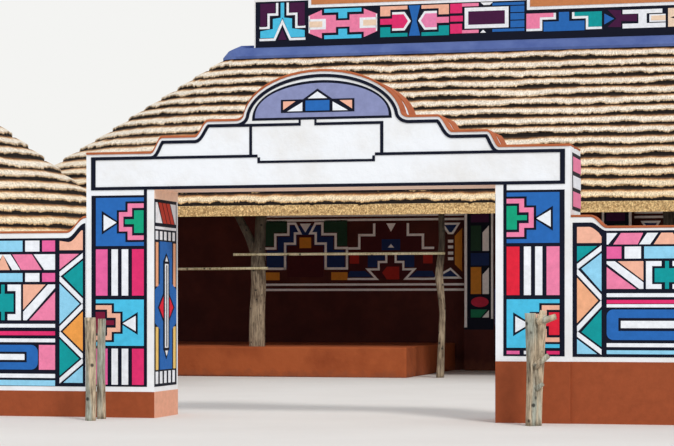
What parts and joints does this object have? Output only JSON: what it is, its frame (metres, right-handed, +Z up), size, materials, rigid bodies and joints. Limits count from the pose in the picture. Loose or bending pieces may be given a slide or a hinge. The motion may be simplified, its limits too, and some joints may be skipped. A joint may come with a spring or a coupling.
{
  "type": "painted thatched homestead with rondavels",
  "caption": "Painted gateway and forecourt wall with a round thatched rondavel on each side, before a long open thatched hut whose painted wall stands up through the ridge.",
  "frame": {"origin": "middle of the whole plan on the lowest ground", "axes": "+X to the right across the gateway, +Y from the gateway back to the long hut, +Z up"},
  "size_m": [24.3, 22.875, 7.9],
  "materials": {
    "painted_plaster": "limewashed plaster with painted patterns",
    "terracotta_plaster": "smoothed earth plaster",
    "maroon_plaster": "dark painted plaster",
    "coping_plaster": "rounded painted plaster",
    "ridge_mortar": "painted mortar",
    "thatch": "stepped courses of cut grass",
    "old_wood": "weathered grey pole",
    "dark_wood": "rough round timber"
  },
  "bodies": {
    "root": {"display_rails": "dark_wood", "eave_beams": "dark_wood", "end_eave_beams": "dark_wood", "end_posts": "dark_wood", "end_rafters": "dark_wood", "front_wall_left": "painted_plaster", "front_wall_right": "painted_plaster", "gate_coping": "coping_plaster", "gate_head": "painted_plaster", "gate_pillar_left": "painted_plaster", "gate_pillar_right": "painted_plaster", "middle_piers": "maroon_plaster", "pegged_post_right": "old_wood", "platform_left": "terracotta_plaster", "platform_right": "terracotta_plaster", "rafters_front": "dark_wood", "rafters_rear": "dark_wood", "ridge_parapet": "painted_plaster", "ridge_roll": "ridge_mortar", "rondavel_caps": "coping_plaster", "rondavel_floor_left": "terracotta_plaster", "rondavel_floor_right": "terracotta_plaster", "rondavel_lintel_left": "painted_plaster", "rondavel_lintel_right": "painted_plaster", "rondavel_roof_frame_left": "dark_wood", "rondavel_roof_frame_right": "dark_wood", "rondavel_thatch_left": "thatch", "rondavel_thatch_right": "thatch", "rondavel_wall_left_back": "painted_plaster", "rondavel_wall_left_front": "painted_plaster", "rondavel_wall_right_back": "painted_plaster", "rondavel_wall_right_front": "painted_plaster", "side_wall_left": "painted_plaster", "side_wall_right": "painted_plaster", "slot_posts_left": "old_wood", "spine_wall": "maroon_plaster", "thatch_front": "thatch", "thatch_left_end": "thatch", "thatch_rear": "thatch", "thatch_right_end": "thatch", "veranda_posts_front": "dark_wood", "veranda_posts_rear": "dark_wood", "wall_coping_left": "coping_plaster", "wall_coping_right": "coping_plaster"}
  },
  "joints": []
}
